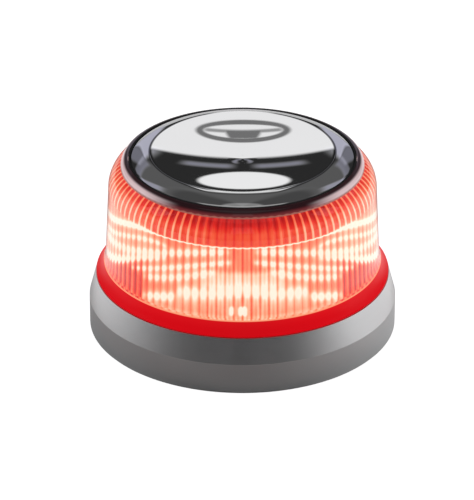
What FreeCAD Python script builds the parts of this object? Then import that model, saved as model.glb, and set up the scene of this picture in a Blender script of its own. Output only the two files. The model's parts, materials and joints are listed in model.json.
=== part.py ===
import FreeCAD, Part
import math
import os

import Sketcher

# Driving dimensions: millimetres, degrees and counts.
DIMENSIONS = {
    # Cast base: straight lower band, tapered upper band, floor and inward lip.
    "base_radius": 59.0,
    "base_band_height": 12.4,
    "base_taper": 2.6,
    "base_height": 22.2,
    "base_floor": 4.0,
    "base_foot_chamfer": 0.8,
    "base_rim_wall": 1.0,
    "base_lip_thickness": 3.6,
    # Sealing ring let into the underside.
    "foot_rim_width": 5.0,
    "foot_seal_width": 2.6,
    "foot_seal_height": 1.7,
    "foot_seal_clearance": 0.1,
    # Tapped bosses that hold the beacon to its mounting plate.
    "mount_inset": 9.0,
    "mount_count": 4,
    "mount_hole_radius": 2.1,
    "mount_hole_depth": 9.0,
    "mount_boss_radius": 5.0,
    "mount_boss_clearance": 3.0,
    # Cable inlet in the middle of the floor.
    "inlet_bore_radius": 3.1,
    "inlet_neck_wall": 1.9,
    "inlet_collar_width": 2.8,
    "inlet_collar_height": 1.6,
    "inlet_clearance": 0.1,
    # Twist lock between the lens and the base.
    "spigot_wall": 2.6,
    "spigot_clearance": 0.3,
    "lug_count": 4,
    "lug_angle": 18.0,
    "lug_reach": 2.3,
    "lug_height": 3.3,
    "lug_clearance": 0.6,
    "notch_spare_angle": 3.0,
    "twist_angle": 28.0,
    "stop_angle": 3.0,
    "stop_gap_angle": 0.7,
    "stop_height": 4.0,
    # Flat seal between the lens flange and the base.
    "seat_gap": 0.2,
    "lens_groove_wall": 0.6,
    "lens_seal_width": 1.6,
    "lens_seal_depth": 1.6,
    "lens_seal_clearance": 0.1,
    "lens_seal_top_clearance": 0.05,
    # Lens: flared flange, drafted wall, rounded shoulder and smooth crown.
    "flange_inset": 0.2,
    "flange_edge_height": 0.5,
    "flare_height": 9.6,
    "flare_width": 3.8,
    "wall_height": 24.7,
    "wall_draft": 1.2,
    "shoulder_height": 9.8,
    "shoulder_width": 4.8,
    "shoulder_bulge": 1.38,
    "crown_height": 3.0,
    "crown_width": 2.9,
    "crown_bulge": 0.71,
    # Flutes moulded into the inside of the lens.
    "flute_count": 96,
    "flute_depth": 0.8,
    "flute_start": 4.8,
    "lens_wall": 2.2,
    # Seat for the mirror cap in the top of the lens.
    "cap_seal_wall": 0.8,
    "cap_seal_height": 1.0,
    "cap_seal_inset": 0.8,
    "cap_seat_clearance": 0.1,
    "cap_seat_depth": 2.4,
    "ledge_thickness": 2.0,
    "ledge_width": 4.0,
    # Mirror cap: wide dish with a shallow cone in the middle, inside a rounded crest.
    "cap_edge_height": 1.0,
    "cap_shoulder_run": 7.0,
    "cap_crest_height": 3.0,
    "cap_crest_run": 5.5,
    "cap_dish_depth": 2.5,
    "cap_cone_radius": 5.0,
    "cap_cone_height": 0.3,
    "cap_wall": 1.4,
    "cap_spigot_wall": 1.4,
    "cap_spigot_clearance": 0.3,
    "cap_spigot_depth": 1.8,
    "cap_boss_radius": 3.2,
    "cap_boss_inset": 4.2,
    # Ring and screws that clamp the cap from below.
    "retainer_overlap": 3.0,
    "retainer_margin": 4.1,
    "retainer_thickness": 2.0,
    "retainer_screw_count": 4,
    "retainer_screw_grip": 3.0,
    # Heat sink on four posts.
    "post_inset": 5.5,
    "post_count": 4,
    "post_angle": 22.5,
    "post_radius": 4.0,
    "post_thread_depth": 9.0,
    "sink_drop": 3.2,
    "sink_clearance": 1.0,
    "sink_thickness": 5.0,
    "fin_count": 24,
    "fin_height": 3.0,
    "fin_width": 1.6,
    "fin_start_gap": 3.0,
    # Ring of light-emitting diodes on its board.
    "led_board_inset": 0.5,
    "led_board_thickness": 1.6,
    "led_count": 8,
    "led_inset": 3.5,
    "led_width": 4.6,
    "led_base_height": 1.0,
    "led_dome_radius": 1.9,
    "led_screw_inset": 3.6,
    "led_screw_count": 4,
    "led_screw_length": 5.0,
    # Trumpet reflector: a parabola of revolution with its focus on the diodes.
    "trumpet_mouth_clearance": 1.2,
    "trumpet_top_drop": 0.6,
    "trumpet_foot_clearance": 2.0,
    "trumpet_wall": 1.8,
    "trumpet_floor": 2.0,
    "trumpet_screw_inset": 9.6,
    "trumpet_screw_count": 3,
    "trumpet_screw_length": 6.0,
    # Driver board on spacers above the floor.
    "driver_clearance": 1.0,
    "driver_thickness": 1.6,
    "spacer_height": 3.0,
    "spacer_radius": 2.75,
    "spacer_inset": 5.0,
    "spacer_count": 4,
    # Parts soldered to the driver board, each with its room below the fins.
    "capacitor_radius": 4.0,
    "capacitor_headroom": 1.0,
    "capacitor_count": 3,
    "capacitor_inset": 7.0,
    "capacitor_span_angle": 60.0,
    "capacitor_first_angle": 130.0,
    "inductor_radius": 6.5,
    "inductor_waist_radius": 4.8,
    "inductor_headroom": 1.8,
    "inductor_flange": 1.0,
    "inductor_inset": 14.0,
    "inductor_angle": -90.0,
    "chip_length": 6.0,
    "chip_width": 5.0,
    "chip_height": 1.8,
    "chip_pitch": 8.5,
    "chip_count": 3,
    "chip_line_offset": 3.0,
    "block_length": 9.0,
    "block_depth": 4.8,
    "block_headroom": 1.4,
    "block_inset": 3.0,
    "lead_block_angle": 60.0,
    "supply_block_angle": -30.0,
    "lead_radius": 0.6,
    "lead_pitch": 2.4,
    # Small screws, all of one thread.
    "screw_radius": 1.5,
    "screw_head_radius": 2.6,
    "screw_head_height": 2.0,
    "screw_clearance": 0.15,
    # How far a cutting shape runs past the face that it cuts.
    "cut_overrun": 0.5,
}

doc = FreeCAD.newDocument("beacon")
sheet = doc.addObject("Spreadsheet::Sheet", "dims")
for row, (alias, value) in enumerate(DIMENSIONS.items(), start=1):
    sheet.set(f"A{row}", alias)
    sheet.set(f"B{row}", str(value))
    sheet.setAlias(f"B{row}", alias)
doc.recompute()

# Levels that several pieces share, as expressions on the sheet.
FLOOR = "dims.base_floor"
SEAM = "dims.base_height"
LIP_BOTTOM = f"({SEAM} - dims.base_lip_thickness)"
LUG_TOP = f"({LIP_BOTTOM} - dims.spigot_clearance)"
SPIGOT_BOTTOM = f"({LUG_TOP} - dims.lug_height)"
LENS_GROOVE_BOTTOM = f"({SEAM} - dims.lens_seal_depth)"
FOOT_GROOVE_DEPTH = "(dims.foot_seal_height + dims.foot_seal_clearance)"
INLET_RECESS_DEPTH = "(dims.inlet_collar_height + dims.inlet_clearance)"
FLANGE_BOTTOM = f"({SEAM} + dims.seat_gap)"
FLARE_START = f"({FLANGE_BOTTOM} + dims.flange_edge_height)"
FLUTE_BOTTOM = f"({FLANGE_BOTTOM} + dims.flute_start)"
WALL_BOTTOM = f"({FLARE_START} + dims.flare_height)"
WALL_TOP = f"({WALL_BOTTOM} + dims.wall_height)"
SHOULDER_TOP = f"({WALL_TOP} + dims.shoulder_height)"
CROWN_TOP = f"({SHOULDER_TOP} + dims.crown_height)"
LEDGE_TOP = f"({CROWN_TOP} - dims.cap_seat_depth)"
LEDGE_BOTTOM = f"({LEDGE_TOP} - dims.ledge_thickness)"
RETAINER_BOTTOM = f"({LEDGE_BOTTOM} - dims.retainer_thickness)"
CAP_BOTTOM = f"({LEDGE_TOP} + dims.cap_seal_height)"
CAP_EDGE = f"({CAP_BOTTOM} + dims.cap_edge_height)"
CAP_CREST = f"({CAP_EDGE} + dims.cap_crest_height)"
POST_TOP = f"({SEAM} - dims.sink_drop)"
FIN_BOTTOM = f"({POST_TOP} - dims.fin_height)"
SINK_TOP = f"({POST_TOP} + dims.sink_thickness)"
LED_BOARD_TOP = f"({SINK_TOP} + dims.led_board_thickness)"
LED_BASE_TOP = f"({LED_BOARD_TOP} + dims.led_base_height)"
TRUMPET_FLOOR_TOP = f"({SINK_TOP} + dims.trumpet_floor)"
TRUMPET_TOP = f"({WALL_TOP} - dims.trumpet_top_drop)"
DRIVER_BOTTOM = f"({FLOOR} + dims.spacer_height)"
DRIVER_TOP = f"({DRIVER_BOTTOM} + dims.driver_thickness)"
BLOCK_TOP = f"({FIN_BOTTOM} - dims.block_headroom)"

# Radii, worked inwards from the outside of the base.
BASE_TOP_RADIUS = "(dims.base_radius - dims.base_taper)"
FOOT_GROOVE_OUTER = "(dims.base_radius - dims.foot_rim_width)"
FOOT_SEAL_OUTER = f"({FOOT_GROOVE_OUTER} - dims.foot_seal_clearance)"
FOOT_SEAL_INNER = f"({FOOT_SEAL_OUTER} - dims.foot_seal_width)"
FOOT_GROOVE_INNER = f"({FOOT_SEAL_INNER} - dims.foot_seal_clearance)"
LENS_GROOVE_OUTER = f"({BASE_TOP_RADIUS} - dims.base_rim_wall)"
LENS_SEAL_OUTER = f"({LENS_GROOVE_OUTER} - dims.lens_seal_clearance)"
LENS_SEAL_INNER = f"({LENS_SEAL_OUTER} - dims.lens_seal_width)"
LENS_GROOVE_INNER = f"({LENS_SEAL_INNER} - dims.lens_seal_clearance)"
BASE_BORE = f"({LENS_GROOVE_INNER} - dims.lens_groove_wall)"
LUG_RADIUS = f"({BASE_BORE} - dims.lug_clearance)"
SPIGOT_RADIUS = f"({LUG_RADIUS} - dims.lug_reach)"
LIP_BORE = f"({SPIGOT_RADIUS} + dims.spigot_clearance)"
STOP_RADIUS = f"({LIP_BORE} + dims.lug_clearance)"
SPIGOT_BORE = f"({SPIGOT_RADIUS} - dims.spigot_wall)"
MOUNT_CIRCLE = f"({BASE_BORE} - dims.mount_inset)"
FLANGE_RADIUS = f"({BASE_TOP_RADIUS} - dims.flange_inset)"
WALL_BOTTOM_RADIUS = f"({FLANGE_RADIUS} - dims.flare_width)"
WALL_TOP_RADIUS = f"({WALL_BOTTOM_RADIUS} - dims.wall_draft)"
CROWN_RADIUS = f"({WALL_TOP_RADIUS} - dims.shoulder_width)"
CAP_RECESS = f"({CROWN_RADIUS} - dims.crown_width)"
CAP_SEAL_OUTER = f"({CAP_RECESS} - dims.cap_seat_clearance)"
CAP_SEAL_BORE = f"({CAP_SEAL_OUTER} - dims.cap_seal_wall)"
CAP_RADIUS = f"({CAP_SEAL_BORE} - dims.cap_seat_clearance)"
CAP_CREST_RADIUS = f"({CAP_RADIUS} - dims.cap_shoulder_run)"
LENS_OPENING = f"({CAP_RADIUS} - dims.ledge_width)"
CAP_SEAL_INNER = f"({LENS_OPENING} + dims.cap_seal_inset)"
CAP_SPIGOT_OUTER = f"({LENS_OPENING} - dims.cap_spigot_clearance)"
CAP_SPIGOT_INNER = f"({CAP_SPIGOT_OUTER} - dims.cap_spigot_wall)"
CAP_BOSS_CIRCLE = f"({CAP_SPIGOT_INNER} - dims.cap_boss_inset)"
RETAINER_OUTER = f"({LENS_OPENING} + dims.retainer_overlap)"
RETAINER_INNER = f"({CAP_BOSS_CIRCLE} - dims.retainer_margin)"
SINK_RADIUS = f"({SPIGOT_BORE} - dims.sink_clearance)"
POST_CIRCLE = f"({SINK_RADIUS} - dims.post_inset)"
DRIVER_RADIUS = f"({POST_CIRCLE} - dims.post_radius - dims.driver_clearance)"
SPACER_CIRCLE = f"({DRIVER_RADIUS} - dims.spacer_inset)"
BLOCK_CIRCLE = f"({DRIVER_RADIUS} - dims.block_inset)"
CAPACITOR_CIRCLE = f"({SPACER_CIRCLE} - dims.capacitor_inset)"
INDUCTOR_CIRCLE = f"({SPACER_CIRCLE} - dims.inductor_inset)"
LED_BOARD_OUTER = f"({SINK_RADIUS} - dims.led_board_inset)"
LED_CIRCLE = f"({LED_BOARD_OUTER} - dims.led_inset)"
INLET_NECK = "(dims.inlet_bore_radius + dims.inlet_neck_wall)"
INLET_HOLE = f"({INLET_NECK} + dims.inlet_clearance)"
INLET_COLLAR = f"({INLET_NECK} + dims.inlet_collar_width)"
INLET_RECESS = f"({INLET_COLLAR} + dims.inlet_clearance)"
SCREW_HOLE = "(dims.screw_radius + dims.screw_clearance)"
HEAD_HOLE = "(dims.screw_head_radius + 2 * dims.screw_clearance)"

# Trumpet parabola: its focus is in the ring of diodes and its mouth clears the lens.
TRUMPET_MOUTH = f"({WALL_TOP_RADIUS} - dims.lens_wall - dims.flute_depth - dims.trumpet_mouth_clearance)"
TRUMPET_RISE = f"({TRUMPET_TOP} - {LED_BASE_TOP})"
TRUMPET_REACH = f"({TRUMPET_MOUTH} - {LED_CIRCLE})"
TRUMPET_FOCAL = f"((sqrt({TRUMPET_REACH} ^ 2 + {TRUMPET_RISE} ^ 2) - {TRUMPET_REACH}) / 2)"
TRUMPET_WAIST = f"({LED_CIRCLE} - {TRUMPET_FOCAL})"
TRUMPET_SCREW_CIRCLE = f"({TRUMPET_WAIST} - dims.trumpet_screw_inset)"
FIN_INNER = f"({TRUMPET_SCREW_CIRCLE} + dims.fin_start_gap)"
LED_BOARD_INNER = f"({TRUMPET_WAIST} + dims.trumpet_foot_clearance)"
LED_SCREW_CIRCLE = f"({LED_BOARD_INNER} + dims.led_screw_inset)"

Z_AXIS = FreeCAD.Vector(0, 0, 1)
Y_AXIS = FreeCAD.Vector(0, 1, 0)


def tangent_radius(run, rise):
    """Radius of an arc that covers a run and a rise and lies along the run at its far end."""
    return f"((({run}) ^ 2 + ({rise}) ^ 2) / (2 * ({rise})))"


def bulge_radius(run, rise, bulge):
    """Radius of an arc that stands a bulge proud of its chord."""
    return f"(((({run}) ^ 2 + ({rise}) ^ 2) / 4 + {bulge} ^ 2) / (2 * {bulge}))"


FLARE_ROUND = tangent_radius("dims.flare_height", "dims.flare_width")
SHOULDER_ROUND = bulge_radius("dims.shoulder_width", "dims.shoulder_height", "dims.shoulder_bulge")
CROWN_ROUND = bulge_radius("dims.crown_width", "dims.crown_height", "dims.crown_bulge")
CAP_OUTER_ROUND = tangent_radius("dims.cap_shoulder_run", "dims.cap_crest_height")

# Cap dish: a round about the axis that runs over into the crest without a kink.
CAP_DISH_EDGE = f"({CAP_CREST_RADIUS} - dims.cap_crest_run)"
CAP_DISH_ROUND = tangent_radius(CAP_DISH_EDGE, "dims.cap_dish_depth")
CAP_CREST_ROUND = f"({CAP_DISH_ROUND} * dims.cap_crest_run / {CAP_DISH_EDGE})"
CAP_DISH_TOP = f"({CAP_CREST} - {CAP_CREST_ROUND} + sqrt({CAP_CREST_ROUND} ^ 2 - dims.cap_crest_run ^ 2))"
CAP_CONE_TOP = (
    f"({CAP_DISH_TOP} - dims.cap_dish_depth + {CAP_DISH_ROUND}"
    f" - sqrt({CAP_DISH_ROUND} ^ 2 - dims.cap_cone_radius ^ 2))"
)
CAP_CENTRE = f"({CAP_CONE_TOP} - dims.cap_cone_height)"


def number(expression):
    """Present value of an expression on the sheet."""
    value = sheet.evalExpression(expression)
    return float(getattr(value, "Value", value))


def new_body(label):
    """Empty body that may hold several separate solids."""
    body = doc.addObject("PartDesign::Body", label)
    body.AllowCompound = True
    return body


def new_sketch(body, name, plane, level="0", angle="0"):
    """Sketch on an origin plane: raised to a level (XY only) and turned about the beacon's axis."""
    sketch = body.newObject("Sketcher::SketchObject", name)
    origin = [item for item in body.Origin.OriginFeatures if item.Role == plane]
    sketch.AttachmentSupport = [(origin[0], "")]
    sketch.MapMode = "FlatFace"
    axis = Z_AXIS if plane == "XY_Plane" else Y_AXIS
    base = FreeCAD.Vector(0, 0, number(level))
    sketch.AttachmentOffset = FreeCAD.Placement(base, FreeCAD.Rotation(axis, number(angle)))
    if level != "0":
        sketch.setExpression(".AttachmentOffset.Base.z", level)
    if angle != "0":
        sketch.setExpression(".AttachmentOffset.Rotation.Angle", f"({angle}) * 1 deg")
    return sketch


def pin_point(sketch, item, end, across, up):
    """Ties one point of a sketch to its two distances from the sketch's origin."""
    for kind, expression, axis in (("DistanceX", across, -2), ("DistanceY", up, -1)):
        if expression == "0":
            sketch.addConstraint(Sketcher.Constraint("PointOnObject", item, end, axis))
        else:
            rule = Sketcher.Constraint(kind, -1, 1, item, end, number(expression))
            sketch.setExpression(f"Constraints[{sketch.addConstraint(rule)}]", expression)


def arc_between(start, finish, radius, side):
    """Arc of a radius between two points, bulging to the left (1) or the right (-1) of the way."""
    chord = finish - start
    left = FreeCAD.Vector(-chord.y, chord.x, 0).normalize()
    offset = math.sqrt(radius ** 2 - (chord.Length / 2) ** 2)
    centre = (start + finish) / 2 - left * side * offset
    first, last = (finish, start) if side > 0 else (start, finish)
    angles = [math.atan2(point.y - centre.y, point.x - centre.x) for point in (first, last)]
    return Part.ArcOfCircle(Part.Circle(centre, Z_AXIS, radius), *angles)


def draw_outline(sketch, corners):
    """Closed outline of (across, up) corners; (across, up, radius, side) starts an arc."""
    points = [FreeCAD.Vector(number(corner[0]), number(corner[1]), 0) for corner in corners]
    ends = []
    for index, corner in enumerate(corners):
        start = points[index]
        finish = points[(index + 1) % len(points)]
        if len(corner) == 4:
            item = sketch.addGeometry(arc_between(start, finish, number(corner[2]), corner[3]), False)
            ends.append((item, 2, 1) if corner[3] > 0 else (item, 1, 2))
        else:
            item = sketch.addGeometry(Part.LineSegment(start, finish), False)
            ends.append((item, 1, 2))
    for index, (item, first, last) in enumerate(ends):
        after, after_first, _ = ends[(index + 1) % len(ends)]
        sketch.addConstraint(Sketcher.Constraint("Coincident", item, last, after, after_first))
    for corner, (item, first, last) in zip(corners, ends):
        pin_point(sketch, item, first, corner[0], corner[1])
        if len(corner) == 4:
            rule = Sketcher.Constraint("Radius", item, number(corner[2]))
            sketch.setExpression(f"Constraints[{sketch.addConstraint(rule)}]", corner[2])


def box_corners(inner, outer, bottom, top):
    """Corners of a rectangle from two radii and two levels."""
    return [(inner, bottom), (outer, bottom), (outer, top), (inner, top)]


def turn_section(body, name, corners, angle="0", sweep=None, cut=False):
    """Section turned about the beacon's axis, all round or over a sweep centred on an angle."""
    sketch = new_sketch(body, f"{name}_section", "XZ_Plane", angle=angle)
    draw_outline(sketch, corners)
    kind = "PartDesign::Groove" if cut else "PartDesign::Revolution"
    turn = body.newObject(kind, name)
    turn.Profile = sketch
    turn.ReferenceAxis = (sketch, ["V_Axis"])
    if sweep is None:
        turn.Angle = 360
    else:
        turn.Midplane = True
        turn.setExpression("Angle", f"({sweep}) * 1 deg")
    return turn


def turn_on_circle(body, name, circle, corners, angle="0"):
    """Section turned about an upright axis that stands on a circle round the beacon's axis."""
    sketch = new_sketch(body, f"{name}_section", "XZ_Plane", angle=angle)
    reach = FreeCAD.Vector(number(circle), 0, 0)
    axis_line = sketch.addGeometry(Part.LineSegment(reach, reach + Y_AXIS * number(SEAM)), True)
    pin_point(sketch, axis_line, 1, circle, "0")
    pin_point(sketch, axis_line, 2, circle, SEAM)
    placed = [(f"({circle} + {corner[0]})", *corner[1:]) for corner in corners]
    draw_outline(sketch, placed)
    turn = body.newObject("PartDesign::Revolution", name)
    turn.Profile = sketch
    turn.ReferenceAxis = (sketch, ["Axis0"])
    turn.Angle = 360
    return turn


def round_sketch(body, name, radius, across, level, angle="0"):
    """Circle at a distance along the sketch's own X axis."""
    sketch = new_sketch(body, f"{name}_circle", "XY_Plane", level, angle)
    centre = FreeCAD.Vector(number(across), 0, 0)
    item = sketch.addGeometry(Part.Circle(centre, Z_AXIS, number(radius)), False)
    pin_point(sketch, item, 3, across, "0")
    rule = Sketcher.Constraint("Radius", item, number(radius))
    sketch.setExpression(f"Constraints[{sketch.addConstraint(rule)}]", radius)
    return sketch


def raise_sketch(body, name, sketch, height):
    """Pad upwards from a sketch."""
    pad = body.newObject("PartDesign::Pad", name)
    pad.Profile = sketch
    pad.setExpression("Length", height)
    return pad


def sink_sketch(body, name, sketch, depth, upwards=False):
    """Pocket downwards from a sketch, or upwards where the sketch lies on an underside."""
    pocket = body.newObject("PartDesign::Pocket", name)
    pocket.Profile = sketch
    pocket.setExpression("Length", depth)
    pocket.Reversed = upwards
    return pocket


def repeat_round(body, name, features, count, span=None):
    """Features repeated round the beacon's axis, all round or over a span."""
    pattern = body.newObject("PartDesign::PolarPattern", name)
    pattern.Originals = features
    pattern.Axis = (features[0].Profile[0], ["N_Axis"])
    if features[0].Profile[0].AttachmentSupport[0][0].Role == "XZ_Plane":
        pattern.Axis = (features[0].Profile[0], ["V_Axis"])
    pattern.setExpression("Occurrences", count)
    pattern.Angle = 360
    if span is not None:
        pattern.setExpression("Angle", f"({span}) * 1 deg")
    body.Tip = pattern
    return pattern


def ring(label, inner, outer, bottom, top):
    """Plain ring of rectangular section."""
    body = new_body(label)
    turn_section(body, f"{label}_turn", box_corners(inner, outer, bottom, top))
    return body


def holes_round(body, name, radius, circle, top, depth, count, angle="0"):
    """Round holes sunk from a level, spaced round the axis."""
    sketch = round_sketch(body, name, radius, circle, top, angle)
    hole = sink_sketch(body, name, sketch, depth)
    repeat_round(body, f"{name}_pattern", [hole], count)


def screws(label, circle, count, seat, length, angle="0", upwards=False):
    """Group of headed screws on a circle: heads on the seat, shanks into it."""
    sign = "+" if upwards else "-"
    away = "-" if upwards else "+"
    tip = f"({seat} {sign} {length})"
    head = f"({seat} {away} dims.screw_head_height)"
    corners = [
        ("0", tip),
        ("dims.screw_radius", tip),
        ("dims.screw_radius", seat),
        ("dims.screw_head_radius", seat),
        ("dims.screw_head_radius", head),
        ("0", head),
    ]
    body = new_body(label)
    screw = turn_on_circle(body, f"{label}_turn", circle, corners, angle)
    repeat_round(body, f"{label}_pattern", [screw], count)
    return body


def base_housing():
    """Cast cup with the bayonet lip, heat sink posts and tapped mounting bosses."""
    body = new_body("base_housing")
    turn_section(body, "base_cup", [
        (INLET_RECESS, "0"),
        (FOOT_GROOVE_INNER, "0"),
        (FOOT_GROOVE_INNER, FOOT_GROOVE_DEPTH),
        (FOOT_GROOVE_OUTER, FOOT_GROOVE_DEPTH),
        (FOOT_GROOVE_OUTER, "0"),
        ("(dims.base_radius - dims.base_foot_chamfer)", "0"),
        ("dims.base_radius", "dims.base_foot_chamfer"),
        ("dims.base_radius", "dims.base_band_height"),
        (BASE_TOP_RADIUS, SEAM),
        (LENS_GROOVE_OUTER, SEAM),
        (LENS_GROOVE_OUTER, LENS_GROOVE_BOTTOM),
        (LENS_GROOVE_INNER, LENS_GROOVE_BOTTOM),
        (LENS_GROOVE_INNER, SEAM),
        (LIP_BORE, SEAM),
        (LIP_BORE, LIP_BOTTOM),
        (BASE_BORE, LIP_BOTTOM),
        (BASE_BORE, FLOOR),
        (INLET_HOLE, FLOOR),
        (INLET_HOLE, INLET_RECESS_DEPTH),
        (INLET_RECESS, INLET_RECESS_DEPTH),
    ])
    notch = turn_section(
        body,
        "bayonet_notch",
        box_corners(
            f"({LIP_BORE} - dims.cut_overrun)",
            BASE_BORE,
            f"({LIP_BOTTOM} - dims.cut_overrun)",
            f"({SEAM} + dims.cut_overrun)",
        ),
        angle="dims.twist_angle",
        sweep="dims.lug_angle + dims.notch_spare_angle",
        cut=True,
    )
    repeat_round(body, "bayonet_notches", [notch], "dims.lug_count")
    stop_section = box_corners(
        STOP_RADIUS,
        f"({BASE_BORE} + dims.cut_overrun)",
        f"({LIP_BOTTOM} - dims.stop_height)",
        LIP_BOTTOM,
    )
    stop_offset = "((dims.lug_angle + dims.stop_angle) / 2 + dims.stop_gap_angle)"
    for name, angle in (("lock", f"-{stop_offset}"), ("release", f"(dims.twist_angle + {stop_offset})")):
        stop = turn_section(body, f"{name}_stop", stop_section, angle=angle, sweep="dims.stop_angle")
        repeat_round(body, f"{name}_stops", [stop], "dims.lug_count")
    for name, radius, circle, height, count, angle in (
        ("sink_post", "dims.post_radius", POST_CIRCLE, f"({POST_TOP} - {FLOOR})",
         "dims.post_count", "dims.post_angle"),
        ("mount_boss", "dims.mount_boss_radius", MOUNT_CIRCLE,
         f"({SPIGOT_BOTTOM} - dims.mount_boss_clearance - {FLOOR})", "dims.mount_count", "0"),
    ):
        sketch = round_sketch(body, name, radius, circle, FLOOR, angle)
        boss = raise_sketch(body, name, sketch, height)
        repeat_round(body, f"{name}s", [boss], count)
    holes_round(body, "post_thread", SCREW_HOLE, POST_CIRCLE, POST_TOP,
                "dims.post_thread_depth", "dims.post_count", "dims.post_angle")
    sketch = round_sketch(body, "mount_hole", "dims.mount_hole_radius", MOUNT_CIRCLE, "0")
    hole = sink_sketch(body, "mount_hole", sketch, "dims.mount_hole_depth", upwards=True)
    repeat_round(body, "mount_holes", [hole], "dims.mount_count")
    return body


def cable_grommet():
    """Rubber grommet: collar below the floor, neck through it and collar above."""
    body = new_body("cable_grommet")
    upper = f"({FLOOR} + dims.inlet_collar_height)"
    turn_section(body, "grommet_turn", [
        ("dims.inlet_bore_radius", "dims.inlet_clearance"),
        (INLET_COLLAR, "dims.inlet_clearance"),
        (INLET_COLLAR, INLET_RECESS_DEPTH),
        (INLET_NECK, INLET_RECESS_DEPTH),
        (INLET_NECK, FLOOR),
        (INLET_COLLAR, FLOOR),
        (INLET_COLLAR, upper),
        ("dims.inlet_bore_radius", upper),
    ])
    return body


def driver_board():
    """Round circuit board with its screw holes."""
    body = ring("driver_board", "0", DRIVER_RADIUS, DRIVER_BOTTOM, DRIVER_TOP)
    depth = "(dims.driver_thickness + dims.cut_overrun)"
    holes_round(body, "driver_hole", SCREW_HOLE, SPACER_CIRCLE, DRIVER_TOP,
                depth, "dims.spacer_count")
    return body


def driver_spacers():
    """Round spacers between the floor and the driver board."""
    body = new_body("driver_spacers")
    corners = box_corners(SCREW_HOLE, "dims.spacer_radius", FLOOR, DRIVER_BOTTOM)
    spacer = turn_on_circle(body, "spacer_turn", SPACER_CIRCLE, corners)
    repeat_round(body, "spacer_pattern", [spacer], "dims.spacer_count")
    return body


def driver_capacitors():
    """Upright can capacitors in an arc."""
    body = new_body("driver_capacitors")
    sketch = round_sketch(body, "capacitor", "dims.capacitor_radius", CAPACITOR_CIRCLE,
                          DRIVER_TOP, "dims.capacitor_first_angle")
    height = f"{FIN_BOTTOM} - dims.capacitor_headroom - {DRIVER_TOP}"
    can = raise_sketch(body, "capacitor_can", sketch, height)
    repeat_round(body, "capacitor_pattern", [can], "dims.capacitor_count", "dims.capacitor_span_angle")
    return body


def driver_inductor():
    """Drum-core inductor: two flanges and a waist."""
    body = new_body("driver_inductor")
    top = f"({FIN_BOTTOM} - dims.inductor_headroom)"
    lower = f"({DRIVER_TOP} + dims.inductor_flange)"
    upper = f"({top} - dims.inductor_flange)"
    corners = [
        ("0", DRIVER_TOP),
        ("dims.inductor_radius", DRIVER_TOP),
        ("dims.inductor_radius", lower),
        ("dims.inductor_waist_radius", lower),
        ("dims.inductor_waist_radius", upper),
        ("dims.inductor_radius", upper),
        ("dims.inductor_radius", top),
        ("0", top),
    ]
    turn_on_circle(body, "inductor_turn", INDUCTOR_CIRCLE, corners, "dims.inductor_angle")
    return body


def solid_box(name, length, width, height, across, along, level):
    """Box centred on (across, along) and standing on a level."""
    box = doc.addObject("Part::Box", name)
    box.setExpression("Length", length)
    box.setExpression("Width", width)
    box.setExpression("Height", height)
    box.setExpression("Placement.Base.x", f"{across} - ({length}) / 2")
    box.setExpression("Placement.Base.y", f"{along} - ({width}) / 2")
    box.setExpression("Placement.Base.z", level)
    return box


def group(label, members):
    """Separate solids kept together under one name."""
    bundle = doc.addObject("Part::Compound", label)
    bundle.Links = members
    return bundle


def driver_chips():
    """Row of control chips across the driver board."""
    count = int(number("dims.chip_count"))
    chips = []
    for index in range(count):
        across = f"dims.chip_pitch * {index - (count - 1) / 2}"
        chips.append(solid_box(f"chip_{index + 1}", "dims.chip_length", "dims.chip_width",
                               "dims.chip_height", across, "dims.chip_line_offset", DRIVER_TOP))
    return group("driver_chips", chips)


def block_sketch(body, name, angle):
    """Rectangle on the driver board, square to the radius at an angle."""
    sketch = new_sketch(body, f"{name}_outline", "XY_Plane", DRIVER_TOP, angle)
    draw_outline(sketch, box_corners(
        f"({BLOCK_CIRCLE} - dims.block_depth / 2)",
        f"({BLOCK_CIRCLE} + dims.block_depth / 2)",
        "(-dims.block_length / 2)",
        "(dims.block_length / 2)",
    ))
    return sketch


def terminal_block(label, angle):
    """Moulded terminal block on the driver board."""
    body = new_body(label)
    raise_sketch(body, f"{label}_pad", block_sketch(body, label, angle), f"{BLOCK_TOP} - {DRIVER_TOP}")
    return body


def lead_sketch(body, name, radius, level, side):
    """Circle of one of the two leads, to either side of the lead block's middle."""
    sketch = new_sketch(body, f"{name}_circle", "XY_Plane", level, "dims.lead_block_angle")
    along = f"({side} * dims.lead_pitch / 2)"
    centre = FreeCAD.Vector(number(BLOCK_CIRCLE), number(along), 0)
    item = sketch.addGeometry(Part.Circle(centre, Z_AXIS, number(radius)), False)
    pin_point(sketch, item, 3, BLOCK_CIRCLE, along)
    rule = Sketcher.Constraint("Radius", item, number(radius))
    sketch.setExpression(f"Constraints[{sketch.addConstraint(rule)}]", radius)
    return sketch


def led_leads():
    """Two stiff leads from the lead block, through the heat sink, to the diode board."""
    body = new_body("led_leads")
    for name, side in (("plus_lead", 1), ("minus_lead", -1)):
        sketch = lead_sketch(body, name, "dims.lead_radius", BLOCK_TOP, side)
        raise_sketch(body, name, sketch, f"{SINK_TOP} - {BLOCK_TOP}")
    return body


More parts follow.
